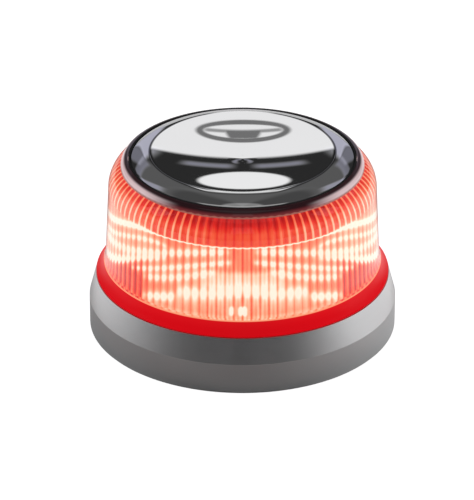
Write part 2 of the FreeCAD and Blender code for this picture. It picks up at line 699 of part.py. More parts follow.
def heat_sink():
    """Aluminium plate with radial fins below and holes for screws and leads."""
    body = ring("heat_sink", "0", SINK_RADIUS, POST_TOP, SINK_TOP)
    sketch = new_sketch(body, "fin_outline", "XY_Plane", FIN_BOTTOM, "(180 / dims.fin_count)")
    draw_outline(sketch, box_corners(
        FIN_INNER,
        DRIVER_RADIUS,
        "(-dims.fin_width / 2)",
        "(dims.fin_width / 2)",
    ))
    fin = raise_sketch(body, "fin", sketch, "(dims.fin_height + dims.cut_overrun)")
    repeat_round(body, "fins", [fin], "dims.fin_count")
    depth = "(dims.sink_thickness + dims.cut_overrun)"
    holes_round(body, "sink_post_hole", SCREW_HOLE, POST_CIRCLE, SINK_TOP,
                depth, "dims.post_count", "dims.post_angle")
    holes_round(body, "board_thread", SCREW_HOLE, LED_SCREW_CIRCLE, SINK_TOP,
                "dims.led_screw_length", "dims.led_screw_count")
    holes_round(body, "trumpet_thread", SCREW_HOLE, TRUMPET_SCREW_CIRCLE, SINK_TOP,
                "dims.trumpet_screw_length", "dims.trumpet_screw_count")
    for name, side in (("plus_lead_hole", 1), ("minus_lead_hole", -1)):
        sketch = lead_sketch(body, name, "(dims.lead_radius + dims.screw_clearance)", SINK_TOP, side)
        sink_sketch(body, name, sketch, depth)
    return body


def led_board():
    """Ring-shaped board, relieved round the heat sink screws."""
    body = ring("led_board", LED_BOARD_INNER, LED_BOARD_OUTER,
                SINK_TOP, LED_BOARD_TOP)
    depth = "(dims.led_board_thickness + dims.cut_overrun)"
    holes_round(body, "board_relief", HEAD_HOLE, POST_CIRCLE, LED_BOARD_TOP,
                depth, "dims.post_count", "dims.post_angle")
    holes_round(body, "board_hole", SCREW_HOLE, LED_SCREW_CIRCLE, LED_BOARD_TOP,
                depth, "dims.led_screw_count")
    return body


def led_emitters():
    """Diodes: square packages with round domes, one ring of them."""
    body = new_body("led_emitters")
    sketch = new_sketch(body, "package_outline", "XY_Plane", LED_BOARD_TOP)
    draw_outline(sketch, box_corners(
        f"({LED_CIRCLE} - dims.led_width / 2)",
        f"({LED_CIRCLE} + dims.led_width / 2)",
        "(-dims.led_width / 2)",
        "(dims.led_width / 2)",
    ))
    package = raise_sketch(body, "package", sketch, "dims.led_base_height")
    dome = turn_on_circle(body, "dome", LED_CIRCLE, [
        ("0", LED_BASE_TOP),
        ("dims.led_dome_radius", LED_BASE_TOP, "dims.led_dome_radius", -1),
        ("0", f"({LED_BASE_TOP} + dims.led_dome_radius)"),
    ])
    repeat_round(body, "diodes", [package, dome], "dims.led_count")
    return body


def trumpet_reflector():
    """Mirror-finished trumpet whose section is a parabola with its focus in the ring of diodes."""
    focus = number(LED_BASE_TOP)
    top = number(TRUMPET_TOP)
    foot = number(SINK_TOP)
    floor_top = number(TRUMPET_FLOOR_TOP)
    wall = number("dims.trumpet_wall")
    waist = number(TRUMPET_WAIST)
    mouth = number(TRUMPET_MOUTH)

    def at(radius, level):
        return FreeCAD.Vector(radius, 0, level)

    def parabola(shift):
        curve = Part.BezierCurve()
        middle = (focus + top) / 2
        curve.setPoles([at(waist - shift, focus), at(waist - shift, middle), at(mouth - shift, top)])
        return curve.toShape()

    edges = [
        Part.makeLine(at(0, foot), at(waist, foot)),
        Part.makeLine(at(waist, foot), at(waist, focus)),
        parabola(0),
        Part.makeLine(at(mouth, top), at(mouth - wall, top)),
        parabola(wall),
        Part.makeLine(at(waist - wall, focus), at(waist - wall, floor_top)),
        Part.makeLine(at(waist - wall, floor_top), at(0, floor_top)),
        Part.makeLine(at(0, floor_top), at(0, foot)),
    ]
    section = Part.Face(Part.Wire(Part.__sortEdges__(edges)))
    shell = section.revolve(FreeCAD.Vector(0, 0, 0), Z_AXIS, 360)
    blank = doc.addObject("Part::Feature", "trumpet_blank")
    blank.Shape = shell
    holes = []
    count = int(number("dims.trumpet_screw_count"))
    for index in range(count):
        hole = doc.addObject("Part::Cylinder", f"trumpet_hole_{index + 1}")
        hole.setExpression("Radius", SCREW_HOLE)
        hole.setExpression("Height", "dims.trumpet_floor + 2 * dims.cut_overrun")
        turn = f"({index} * 360 / dims.trumpet_screw_count) * 1 deg"
        hole.setExpression("Placement.Base.x", f"{TRUMPET_SCREW_CIRCLE} * cos({turn})")
        hole.setExpression("Placement.Base.y", f"{TRUMPET_SCREW_CIRCLE} * sin({turn})")
        hole.setExpression("Placement.Base.z", f"{SINK_TOP} - dims.cut_overrun")
        holes.append(hole)
    drills = group("trumpet_drills", holes)
    trumpet = doc.addObject("Part::Cut", "trumpet_reflector")
    trumpet.Base = blank
    trumpet.Tool = drills
    return trumpet


def lens_blank():
    """Lens before its flutes are cut: outer form, spigot, cap seat and bayonet lugs."""
    body = new_body("lens_blank")
    turn_section(body, "lens_turn", [
        (SPIGOT_BORE, SPIGOT_BOTTOM),
        (SPIGOT_RADIUS, SPIGOT_BOTTOM),
        (SPIGOT_RADIUS, FLANGE_BOTTOM),
        (FLANGE_RADIUS, FLANGE_BOTTOM),
        (FLANGE_RADIUS, FLARE_START, FLARE_ROUND, 1),
        (WALL_BOTTOM_RADIUS, WALL_BOTTOM),
        (WALL_TOP_RADIUS, WALL_TOP, SHOULDER_ROUND, -1),
        (CROWN_RADIUS, SHOULDER_TOP, CROWN_ROUND, -1),
        (CAP_RECESS, CROWN_TOP),
        (CAP_RECESS, LEDGE_TOP),
        (LENS_OPENING, LEDGE_TOP),
        (LENS_OPENING, FLUTE_BOTTOM),
        (SPIGOT_BORE, FLUTE_BOTTOM),
    ])
    lug = turn_section(
        body,
        "lug",
        box_corners(
            f"({SPIGOT_BORE} + dims.cut_overrun)",
            LUG_RADIUS,
            f"({LUG_TOP} - dims.lug_height)",
            LUG_TOP,
        ),
        sweep="dims.lug_angle",
    )
    repeat_round(body, "lugs", [lug], "dims.lug_count")
    return body


def flute_ring(valley, level):
    """Zigzag ring of flutes: every other corner stands one flute depth further in."""
    count = 2 * int(number("dims.flute_count"))
    depth = number("dims.flute_depth")
    crest = valley * (1 - depth / (number(WALL_BOTTOM_RADIUS) - number("dims.lens_wall")))
    corners = []
    for index in range(count):
        radius = valley if index % 2 else crest
        angle = 2 * math.pi * index / count
        corners.append(FreeCAD.Vector(radius * math.cos(angle), radius * math.sin(angle), level))
    return Part.makePolygon(corners + corners[:1])


def lens():
    """Fluted lens: the blank with a fluted core taken out of its inside."""
    blank = lens_blank()
    wall = number("dims.lens_wall")
    wall_top = number(WALL_TOP)
    ceiling = number(LEDGE_BOTTOM)
    inner_top = number(WALL_TOP_RADIUS) - wall
    inner_crown = number(CROWN_RADIUS) - wall - number("dims.cut_overrun")
    inner_shoulder = (inner_top + inner_crown) / 2 + number("dims.shoulder_bulge")
    sections = [
        (number(WALL_BOTTOM_RADIUS) - wall, number(FLUTE_BOTTOM)),
        (inner_top, wall_top),
        (inner_shoulder, (wall_top + ceiling) / 2),
        (inner_crown, ceiling),
    ]
    rings = [flute_ring(radius, level) for radius, level in sections]
    core = doc.addObject("Part::Feature", "flute_core")
    core.Shape = Part.makeLoft(rings, True, True)
    cut = doc.addObject("Part::Cut", "lens")
    cut.Base = blank
    cut.Tool = core
    return cut


def cap_seal():
    """Black angle-section ring between the lens and the mirror cap."""
    body = new_body("cap_seal")
    turn_section(body, "cap_seal_turn", [
        (CAP_SEAL_INNER, LEDGE_TOP),
        (CAP_SEAL_OUTER, LEDGE_TOP),
        (CAP_SEAL_OUTER, CROWN_TOP),
        (CAP_SEAL_BORE, CROWN_TOP),
        (CAP_SEAL_BORE, CAP_BOTTOM),
        (CAP_SEAL_INNER, CAP_BOTTOM),
    ])
    return body


def mirror_cap():
    """Bright cap: dish, crest, locating spigot and screw bosses on its underside."""
    body = new_body("mirror_cap")
    wall = "dims.cap_wall"
    under_crest = f"({CAP_CREST} - {wall})"
    under_dish = f"({CAP_DISH_TOP} - {wall})"
    under_cone = f"({CAP_CONE_TOP} - {wall})"
    under_centre = f"({CAP_CENTRE} - {wall})"
    spigot_bottom = f"({CAP_BOTTOM} - dims.cap_spigot_depth)"
    turn_section(body, "cap_turn", [
        ("0", under_centre),
        ("0", CAP_CENTRE),
        ("dims.cap_cone_radius", CAP_CONE_TOP, CAP_DISH_ROUND, -1),
        (CAP_DISH_EDGE, CAP_DISH_TOP, CAP_CREST_ROUND, 1),
        (CAP_CREST_RADIUS, CAP_CREST, CAP_OUTER_ROUND, 1),
        (CAP_RADIUS, CAP_EDGE),
        (CAP_RADIUS, CAP_BOTTOM),
        (CAP_SPIGOT_OUTER, CAP_BOTTOM),
        (CAP_SPIGOT_OUTER, spigot_bottom),
        (CAP_SPIGOT_INNER, spigot_bottom),
        (CAP_SPIGOT_INNER, CAP_BOTTOM),
        (CAP_CREST_RADIUS, under_crest, CAP_CREST_ROUND, -1),
        (CAP_DISH_EDGE, under_dish, CAP_DISH_ROUND, 1),
        ("dims.cap_cone_radius", under_cone),
    ])
    length = f"({under_crest} - {LEDGE_BOTTOM})"
    sketch = round_sketch(body, "cap_boss", "dims.cap_boss_radius", CAP_BOSS_CIRCLE,
                          LEDGE_BOTTOM, "dims.post_angle")
    boss = raise_sketch(body, "cap_boss", sketch, length)
    repeat_round(body, "cap_bosses", [boss], "dims.retainer_screw_count")
    sketch = round_sketch(body, "cap_thread", SCREW_HOLE, CAP_BOSS_CIRCLE,
                          LEDGE_BOTTOM, "dims.post_angle")
    hole = sink_sketch(body, "cap_thread", sketch, "(dims.retainer_screw_grip + dims.cut_overrun)", True)
    repeat_round(body, "cap_threads", [hole], "dims.retainer_screw_count")
    return body


def cap_retainer():
    """Ring under the lens ledge that the cap screws pull against."""
    body = ring("cap_retainer", RETAINER_INNER, RETAINER_OUTER,
                RETAINER_BOTTOM, LEDGE_BOTTOM)
    holes_round(body, "retainer_hole", SCREW_HOLE, CAP_BOSS_CIRCLE, LEDGE_BOTTOM,
                "(dims.retainer_thickness + dims.cut_overrun)", "dims.retainer_screw_count",
                "dims.post_angle")
    return body


def build():
    """All the pieces, from the base upwards."""
    return [
        base_housing(),
        ring("foot_seal", FOOT_SEAL_INNER, FOOT_SEAL_OUTER,
             "dims.foot_seal_clearance", FOOT_GROOVE_DEPTH),
        cable_grommet(),
        driver_spacers(),
        driver_board(),
        screws("driver_screws", SPACER_CIRCLE, "dims.spacer_count", DRIVER_TOP,
               "(dims.driver_thickness + dims.spacer_height - dims.screw_clearance)"),
        driver_capacitors(),
        driver_inductor(),
        driver_chips(),
        terminal_block("supply_terminal", "dims.supply_block_angle"),
        terminal_block("lead_terminal", "dims.lead_block_angle"),
        led_leads(),
        heat_sink(),
        screws("heat_sink_screws", POST_CIRCLE, "dims.post_count", SINK_TOP,
               "(dims.sink_thickness + dims.post_thread_depth - dims.cut_overrun)", "dims.post_angle"),
        led_board(),
        screws("led_board_screws", LED_SCREW_CIRCLE, "dims.led_screw_count", LED_BOARD_TOP,
               "(dims.led_board_thickness + dims.led_screw_length - dims.cut_overrun)"),
        led_emitters(),
        trumpet_reflector(),
        screws("reflector_screws", TRUMPET_SCREW_CIRCLE, "dims.trumpet_screw_count",
               TRUMPET_FLOOR_TOP, "(dims.trumpet_floor + dims.trumpet_screw_length - dims.cut_overrun)"),
        ring("lens_seal", LENS_SEAL_INNER, LENS_SEAL_OUTER,
             LENS_GROOVE_BOTTOM, f"({FLANGE_BOTTOM} - dims.lens_seal_top_clearance)"),
        lens(),
        cap_seal(),
        mirror_cap(),
        cap_retainer(),
        screws("cap_screws", CAP_BOSS_CIRCLE, "dims.retainer_screw_count", RETAINER_BOTTOM,
               "(dims.retainer_thickness + dims.retainer_screw_grip)", "dims.post_angle", upwards=True),
    ]


def check_and_write(pieces):
    """Stops on any failed object, then writes each piece to its own file."""
    for item in doc.Objects:
        if "Invalid" in item.State or "Error" in item.State:
            raise RuntimeError(f"{item.Name} failed: {item.State}")
    for piece in pieces:
        if piece.Shape.isNull() or not piece.Shape.isValid():
            raise RuntimeError(f"{piece.Label} has no valid shape")
    os.makedirs("parts", exist_ok=True)
    for piece in pieces:
        piece.Shape.exportStep(os.path.join("parts", f"{piece.Label}.step"))
        print(f"{piece.Label}: {len(piece.Shape.Solids)} solids, {piece.Shape.Volume:.1f} mm3")


pieces = build()
doc.recompute()
check_and_write(pieces)
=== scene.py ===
import json
import math

import bmesh
import bpy
from mathutils import Matrix, Vector


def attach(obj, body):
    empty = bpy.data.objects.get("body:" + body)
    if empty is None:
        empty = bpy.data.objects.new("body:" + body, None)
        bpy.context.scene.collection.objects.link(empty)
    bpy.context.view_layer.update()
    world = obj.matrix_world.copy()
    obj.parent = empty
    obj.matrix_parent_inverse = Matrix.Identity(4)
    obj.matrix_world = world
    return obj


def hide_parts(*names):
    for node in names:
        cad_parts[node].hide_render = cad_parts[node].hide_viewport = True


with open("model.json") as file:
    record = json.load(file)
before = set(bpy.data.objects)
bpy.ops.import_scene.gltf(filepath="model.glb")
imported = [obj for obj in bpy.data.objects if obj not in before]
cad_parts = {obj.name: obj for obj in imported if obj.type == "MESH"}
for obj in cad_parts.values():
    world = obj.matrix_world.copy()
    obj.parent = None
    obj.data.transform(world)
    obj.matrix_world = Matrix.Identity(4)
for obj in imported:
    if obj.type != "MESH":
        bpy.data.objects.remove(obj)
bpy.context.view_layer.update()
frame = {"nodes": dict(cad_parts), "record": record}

bl_info = {
    "name": "Beacon light",
    "version": (1, 0, 0),
    "blender": (4, 5, 0),
    "location": "3D View > Sidebar > Beacon",
    "description": "Dresses the beacon's solids: lit fluted lens, mirror cap, painted base and inner works",
    "category": "Object",
}

MM = 0.001

# Finishes of the inner pieces by slot: first colour, second colour, metallic, roughness, grain scale, bump.
INNER_FINISHES = {
    "black_rubber": ((0.018, 0.018, 0.019), (0.035, 0.034, 0.033), 0.0, 0.62, 900.0, 0.12),
    "plated_brass": ((0.55, 0.40, 0.16), (0.66, 0.51, 0.24), 1.0, 0.28, 1400.0, 0.05),
    "circuit_board": ((0.010, 0.12, 0.045), (0.016, 0.17, 0.06), 0.0, 0.32, 260.0, 0.06),
    "steel_screw": ((0.50, 0.50, 0.49), (0.64, 0.64, 0.63), 1.0, 0.26, 1800.0, 0.06),
    "capacitor_sleeve": ((0.016, 0.018, 0.035), (0.028, 0.030, 0.05), 0.0, 0.22, 500.0, 0.03),
    "ferrite": ((0.03, 0.03, 0.031), (0.055, 0.054, 0.053), 0.0, 0.55, 1200.0, 0.15),
    "chip_resin": ((0.017, 0.017, 0.018), (0.028, 0.028, 0.028), 0.0, 0.5, 2200.0, 0.1),
    "terminal_plastic": ((0.03, 0.20, 0.09), (0.045, 0.26, 0.12), 0.0, 0.38, 700.0, 0.05),
    "lead_wire": ((0.34, 0.012, 0.012), (0.42, 0.02, 0.018), 0.0, 0.36, 600.0, 0.04),
    "bare_aluminium": ((0.66, 0.67, 0.68), (0.78, 0.78, 0.79), 1.0, 0.34, 1100.0, 0.08),
    "white_board": ((0.74, 0.73, 0.70), (0.82, 0.81, 0.79), 0.0, 0.4, 300.0, 0.05),
    "retainer_plastic": ((0.02, 0.02, 0.021), (0.033, 0.033, 0.033), 0.0, 0.48, 800.0, 0.08),
}
DRIVER_NODES = (
    "driver_spacers", "driver_board", "driver_screws", "driver_capacitors", "driver_inductor",
    "driver_chips", "supply_terminal", "lead_terminal", "led_leads",
)
ENGINE_NODES = (
    "heat_sink", "heat_sink_screws", "led_board", "led_board_screws", "reflector_screws",
)
SEAL_NODES = ("foot_seal", "cable_grommet", "lens_seal", "cap_seal")
LIGHT_NODES = ("led_emitters", "trumpet_reflector")
CAP_NODES = ("cap_retainer", "cap_screws")

BLACK = (0.0, 0.0, 0.0, 1.0)
WHITE = (1.0, 1.0, 1.0, 1.0)

# Sections are (radius, height) points in millimetres. The lens runs from the foot of its spigot upwards.
LENS_SPIGOT = [(47.5, 15.0), (50.1, 15.0), (50.1, 22.4), (55.9, 22.4), (56.2, 22.65)]
FLANGE_EDGE = (56.2, 22.9)
FLANGE_TOP = (53.108, 28.1)
WALL_FOOT = (52.4, 32.5)
WALL_STEPS = [WALL_FOOT, (52.0, 40.7), (51.6, 49.0)]
WALL_TOP = (51.2, 57.2)
CROWN_FOOT = (46.4, 67.0)
CROWN_TOP = (43.5, 70.0)
CAP_SEAT = [CROWN_TOP, (43.5, 67.6), (38.5, 67.6), (38.5, 65.6)]
SHOULDER_INSIDE = [(43.7, 65.6), (46.0, 63.6), (47.73, 61.4), (48.7, 59.2)]
SPIGOT_INSIDE = [(47.5, 27.2), (47.5, 23.6)]
FLARE_ROUND = 14.03
SHOULDER_ROUND = 11.48
CROWN_ROUND = 3.42

# Flutes run down the inside of the wall from its top; they lean outwards with it.
FLUTE_LENGTH = 30.0
FLUTE_LEAN = 1.2
FLUTE_SPANS = 12
LUG_SECTION = [(47.7, 15.02), (52.4, 15.02), (52.4, 18.3), (47.7, 18.3)]
LUG_COUNT = 4
LUG_SWEEP = 18.0

# Order of the lens's finishes.
SKIN, LIT, FLANGE, CROWN = range(4)

# Mirror cap, from the middle of its dish outwards, then back underneath.
CAP_TIP = [(0.0, 69.31), (1.0, 69.34), (2.5, 69.43), (5.0, 69.583)]
DISH_EDGE = (35.07, 72.607)
CREST = (35.2, 72.61)
CAP_SHOULDER = (42.35, 69.88)
CAP_EDGE = [(42.44, 69.75), (42.49, 69.5), (42.5, 69.25), (42.5, 68.6)]
CAP_UNDER = [
    (38.2, 68.6), (38.2, 66.8), (36.8, 66.8), (36.8, 68.6), (35.3, 71.2), (33.5, 71.04),
    (16.0, 68.9), (5.0, 68.3), (0.0, 68.0),
]
DISH_ROUND = 200.7
CREST_ROUND = 0.4
CAP_SHOULDER_ROUND = 18.76

# Heights or radii in millimetres between which a finish changes. Except the diode dome, they bound painted
# light and shade: a painted highlight on the base's band edge, a painted dark reflection on the cap's crest,
# the flange's painted glow and a painted bright line along the flange's top.
BASE_EDGE_HIGHLIGHT = (12.15, 12.6)
CREST_SHADE = (34.8, 35.7)
DIODE_DOME = (26.5, 27.2)
FLANGE_GLOW = (24.0, 28.2)
FLANGE_TOP_LIGHT = (27.45, 27.8)

# A lit row's height by the side share: constant, linear and square terms. This one bounds the hot zone.
SUNK_ROW = (31.22, 66.8, -66.17)
# Side shares that a row never reaches, and that it has always passed.
NEVER = (1.5, 2.0)
ALWAYS = (-2.0, -1.0)
# Emission of the flutes from dull to white-hot.
HEAT_COLOURS = (
    (0.0, (0.36, 0.002, 0.005)),
    (0.2, (0.75, 0.022, 0.016)),
    (0.4, (0.90, 0.125, 0.05)),
    (0.6, (0.95, 0.31, 0.165)),
    (0.8, (1.0, 0.66, 0.44)),
    (1.0, (1.0, 1.0, 0.84)),
)

# Stage sizes in metres. Lamps: name, place, size and power in watts.
FLOOR_HOLE = 0.056
FLOOR_EDGE = 6.0
FLOOR_DROP = 0.05 * MM
BACKDROP_RADIUS = 12.0
LAMP_AIM = (0.0, 0.0, 0.03)
LAMPS = (
    ("key_right", (1.7, 0.15, 0.3), 0.8, 18.0),
    ("key_left", (-1.7, 0.15, 0.3), 0.8, 11.0),
    ("over", (0.0, 0.2, 2.2), 1.6, 2.0),
)


class BeaconLens(bpy.types.PropertyGroup):
    """Sizes and colours of the lens."""

    flutes: bpy.props.IntProperty(
        name="Flutes", description="Flutes round the inside of the wall", default=96, min=12)
    flute_depth: bpy.props.FloatProperty(
        name="Flute depth", description="How far a flute stands in from the wall",
        default=0.8 * MM, unit="LENGTH")
    wall: bpy.props.FloatProperty(
        name="Wall", description="Thickness of the lens wall at the root of the flutes",
        default=2.2 * MM, unit="LENGTH")
    skin: bpy.props.FloatVectorProperty(
        name="Skin colour", description="Red of the moulding at the flange", subtype="COLOR",
        default=(0.2, 0.002, 0.004))


class BeaconMetal(bpy.types.PropertyGroup):
    """Colours of the base and the cap."""

    paint: bpy.props.FloatVectorProperty(
        name="Paint", description="Satin grey of the base", subtype="COLOR", default=(0.54, 0.54, 0.545))
    chrome: bpy.props.FloatVectorProperty(
        name="Chrome", description="Tint of the mirror cap", subtype="COLOR", default=(0.87, 0.87, 0.88))


class BeaconStage(bpy.types.PropertyGroup):
    """Camera."""

    elevation: bpy.props.FloatProperty(
        name="Elevation", description="Camera angle above the floor",
        default=math.radians(27.41), subtype="ANGLE")
    distance: bpy.props.FloatProperty(
        name="Distance", description="Camera distance from its aim", default=1.49, unit="LENGTH")
    aim: bpy.props.FloatVectorProperty(
        name="Aim", description="Point that the camera looks at", subtype="XYZ",
        default=(-0.0021, 0.0, 0.03017))
    focal: bpy.props.FloatProperty(
        name="Focal length", description="Camera focal length in millimetres", default=294.5)


class Field:
    """A node socket; arithmetic on it adds Math nodes."""

    def __init__(self, socket):
        self.socket = socket

    def math(self, operation, *values, clamp=False):
        node = self.socket.id_data.nodes.new("ShaderNodeMath")
        node.operation = operation
        node.use_clamp = clamp
        for socket, value in zip(node.inputs, values):
            plug(socket, value)
        return Field(node.outputs[0])

    def __add__(self, other):
        return self.math("ADD", self, other)

    def __sub__(self, other):
        return self.math("SUBTRACT", self, other)

    def __rsub__(self, other):
        return self.math("SUBTRACT", other, self)

    def __mul__(self, other):
        return self.math("MULTIPLY", self, other)

    def __truediv__(self, other):
        return self.math("DIVIDE", self, other)

    def __pow__(self, other):
        return self.math("POWER", self, other)

    def __abs__(self):
        return self.math("ABSOLUTE", self)

    __radd__ = __add__
    __rmul__ = __mul__

    def sqrt(self):
        return self.math("SQRT", self)

    def fraction(self):
        return self.math("FRACT", self)

    def clip(self):
        return self.math("MULTIPLY", self, 1.0, clamp=True)

    def larger(self, other):
        return self.math("MAXIMUM", self, other)

    def rise(self, start, stop):
        """Smooth step from 0 at start to 1 at stop."""
        node = self.socket.id_data.nodes.new("ShaderNodeMapRange")
        node.interpolation_type = "SMOOTHSTEP"
        for name, value in (("Value", self), ("From Min", start), ("From Max", stop)):
            plug(node.inputs[name], value)
        return Field(node.outputs[0])

    def band(self, low, high, soft):
        """1 between low and high, with soft edges."""
        return self.rise(low - soft, low + soft) * (1 - self.rise(high - soft, high + soft))

    def triangle(self):
        """Rises from 0 to 1 and falls back over every unit."""
        return 1 - abs(self.fraction() - 0.5) * 2.0

    def bell(self):
        """1 at zero, falling off to both sides."""
        return (1 + self * self) ** -2.0


def plug(socket, value):
    """Sets a socket to a number or colour, or links a field to it."""
    if isinstance(value, Field):
        socket.id_data.links.new(value.socket, socket)
    else:
        socket.default_value = value


class Finish:
    """Node tree of one finish."""

    def __init__(self, name, owner=None):
        self.owner = owner or bpy.data.materials.new(name)
        self.owner.use_nodes = True
        self.tree = self.owner.node_tree
        self.shader = self.tree.nodes.get("Principled BSDF")

    def node(self, kind, settings=None, inputs=None, output=0):
        """Adds a node: its settings first, then the values or links of its sockets."""
        node = self.tree.nodes.new(kind)
        for name, value in (settings or {}).items():
            if name == "stops":
                ramp = node.color_ramp
                while len(ramp.elements) < len(value):
                    ramp.elements.new(0.5)
                for element, (position, colour) in zip(ramp.elements, value):
                    element.position = position
                    element.color = (*colour, 1.0)
            else:
                setattr(node, name, value)
        for name, value in (inputs or {}).items():
            plug(node.inputs[name], value)
        return Field(node.outputs[output])

    def point(self):
        """Object coordinates as one vector."""
        return self.node("ShaderNodeTexCoord", output="Object")

    def split(self, vector):
        """The three parts of a vector."""
        node = self.tree.nodes.new("ShaderNodeSeparateXYZ")
        plug(node.inputs[0], vector)
        return [Field(output) for output in node.outputs]

    def place(self):
        """Object coordinates in millimetres: across, along and up."""
        return [part * (1 / MM) for part in self.split(self.point())]

    def grain(self, scale, detail=3.0, stretch=None):
        """Noise between 0 and 1 on Object coordinates."""
        point = self.point()
        if stretch:
            point = self.node("ShaderNodeMapping", None, {"Vector": point, "Scale": stretch})
        return self.node("ShaderNodeTexNoise", None, {"Vector": point, "Scale": scale, "Detail": detail})

    def mix(self, share, first, second):
        return self.node("ShaderNodeMix", {"data_type": "RGBA"}, {0: share, 6: first, 7: second}, output=2)

    def ramp(self, share, stops):
        return self.node("ShaderNodeValToRGB", {"stops": stops}, {"Fac": share})

    def bump(self, height, strength, distance):
        return self.node(
            "ShaderNodeBump", None, {"Height": height, "Strength": strength, "Distance": distance})

    def surface(self, **sockets):
        """Sets the shader's own sockets; an underscore stands for a space."""
        for name, value in sockets.items():
            plug(self.shader.inputs[name.replace("_", " ")], value)
        return self.owner


def rgba(colour):
    return (*colour, 1.0)


def distance(across, along):
    """Distance from the beacon's axis."""
    return (across * across + along * along).sqrt()


def flute_phase(finish, across, along, flutes):
    """Flutes passed on the way round from the front."""
    turn = finish.node("ShaderNodeMath", {"operation": "ARCTAN2"}, {0: across, 1: along * -1.0})
    return turn * (flutes / (2 * math.pi))


def mould_flow(finish):
    """Faint upright streaks of a clear moulding."""
    return finish.grain(60.0, 3.0, (1.0, 1.0, 0.3))


def inner_finish(slot):
    """Finish of a piece inside or under the beacon: two tones, a fine grain and its own gloss."""
    first, second, metallic, roughness, scale, bump = INNER_FINISHES[slot]
    finish = Finish(slot)
    fine = finish.grain(scale)
    broad = finish.grain(scale / 12.0, 4.0)
    return finish.surface(
        Base_Color=finish.mix(fine * 0.6 + broad * 0.4, rgba(first), rgba(second)),
        Metallic=metallic,
        Roughness=roughness + (broad - 0.5) * 0.18,
        Normal=finish.bump(fine, bump, 0.0002),
    )


def paint_finish(colour):
    """Satin metallic grey on a cast base: fine orange peel, a faint change of gloss, and a painted highlight
    along the edge between its two bands.
    """
    finish = Finish("base_paint")
    _, _, up = finish.place()
    peel = finish.grain(1500.0, 2.0)
    cloud = finish.grain(45.0, 4.0)
    turned = finish.grain(60.0, 3.0, (1.0, 1.0, 30.0))
    pale = [min(1.0, part * 1.06) for part in colour]
    dark = [part * 0.94 for part in colour]
    # Painted highlight: a lighter line along the edge between the base's two bands.
    edge = up.band(*BASE_EDGE_HIGHLIGHT, 0.15)
    tone = finish.mix(cloud * 0.7 + turned * 0.3, rgba(dark), rgba(pale))
    return finish.surface(
        Base_Color=finish.mix(edge * 0.35, tone, rgba([part * 1.2 for part in colour])),
        Metallic=0.9,
        Roughness=0.30 + (cloud - 0.5) * 0.08 + (turned - 0.5) * 0.03,
        Normal=finish.bump(peel, 0.03, 0.0001),
    )


def chrome_finish(colour):
    """Polished mirror chrome with the faintest haze, and a painted dark reflection along its crest at the
    sides.
    """
    finish = Finish("chrome_cap")
    across, along, _ = finish.place()
    haze = finish.grain(35.0, 4.0)
    wave = finish.grain(18.0, 2.0)
    # Painted dark reflection: a near-black ring along the crest, except near the front and back middle.
    painted_crest_shade = distance(across, along).band(*CREST_SHADE, 0.25) * abs(across).rise(8.0, 15.0)
    deep = [part * 0.97 for part in colour]
    plain = finish.mix(haze, rgba(deep), rgba(colour))
    return finish.surface(
        Base_Color=finish.mix(painted_crest_shade, plain, (0.10, 0.10, 0.11, 1.0)),
        Metallic=1.0,
        Roughness=0.015 + haze * 0.02,
        Normal=finish.bump(wave, 0.012, 0.001),
    )


def mirror_finish():
    """Bright metal coat on the moulded trumpet."""
    finish = Finish("mirror_finish")
    haze = finish.grain(120.0, 3.0)
    return finish.surface(
        Base_Color=finish.mix(haze, (0.84, 0.84, 0.85, 1.0), (0.91, 0.91, 0.91, 1.0)),
        Metallic=1.0,
        Roughness=0.05 + haze * 0.05,
    )


def diode_finish():
    """Lit diodes: white-hot domes on red packages."""
    finish = Finish("diode")
    _, _, up = finish.place()
    dome = up.rise(*DIODE_DOME)
    grain = finish.grain(900.0)
    return finish.surface(
        Base_Color=finish.mix(dome, (0.5, 0.1, 0.06, 1.0), (1.0, 0.8, 0.6, 1.0)),
        Roughness=0.2 + grain * 0.15,
        Emission_Color=finish.mix(dome, (0.5, 0.03, 0.015, 1.0), (1.0, 0.86, 0.6, 1.0)),
        Emission_Strength=1.0,
    )


def skin_finish():
    """Clear outside of the lens wall, faintly red."""
    finish = Finish("red_lens")
    flow = mould_flow(finish)
    clear = finish.mix(flow, (1.0, 0.86, 0.82, 1.0), (1.0, 0.92, 0.89, 1.0))
    edge = finish.node("ShaderNodeLayerWeight", None, {"Blend": 0.5}, output="Facing")
    return finish.surface(
        Base_Color=finish.mix(edge.rise(0.84, 0.97), clear, (0.75, 0.05, 0.05, 1.0)),
        Roughness=0.01 + flow * 0.015,
        IOR=1.49,
        Transmission_Weight=1.0,
    )


def flange_finish(colour):
    """Solid red flange that glows a little from within: a painted glow, brighter upwards, with a painted
    bright line of light along its top.
    """
    finish = Finish("red_flange")
    _, _, up = finish.place()
    flow = mould_flow(finish)
    glow = up.rise(*FLANGE_GLOW)
    lit = finish.mix(glow, (0.60, 0.003, 0.007, 1.0), (0.66, 0.007, 0.011, 1.0))
    lit = finish.mix(flow * 0.25, lit, (0.46, 0.003, 0.006, 1.0))
    # Painted light: a bright orange line along the flange's top, where it meets the wall.
    painted_top_light = up.rise(*FLANGE_TOP_LIGHT)
    return finish.surface(
        Base_Color=finish.mix(flow, rgba(colour), rgba([part * 0.85 for part in colour])),
        Roughness=0.26 + flow * 0.08,
        Specular_IOR_Level=0.05,
        Emission_Color=finish.mix(painted_top_light, lit, (0.97, 0.36, 0.20, 1.0)),
        Emission_Strength=1.0,
    )


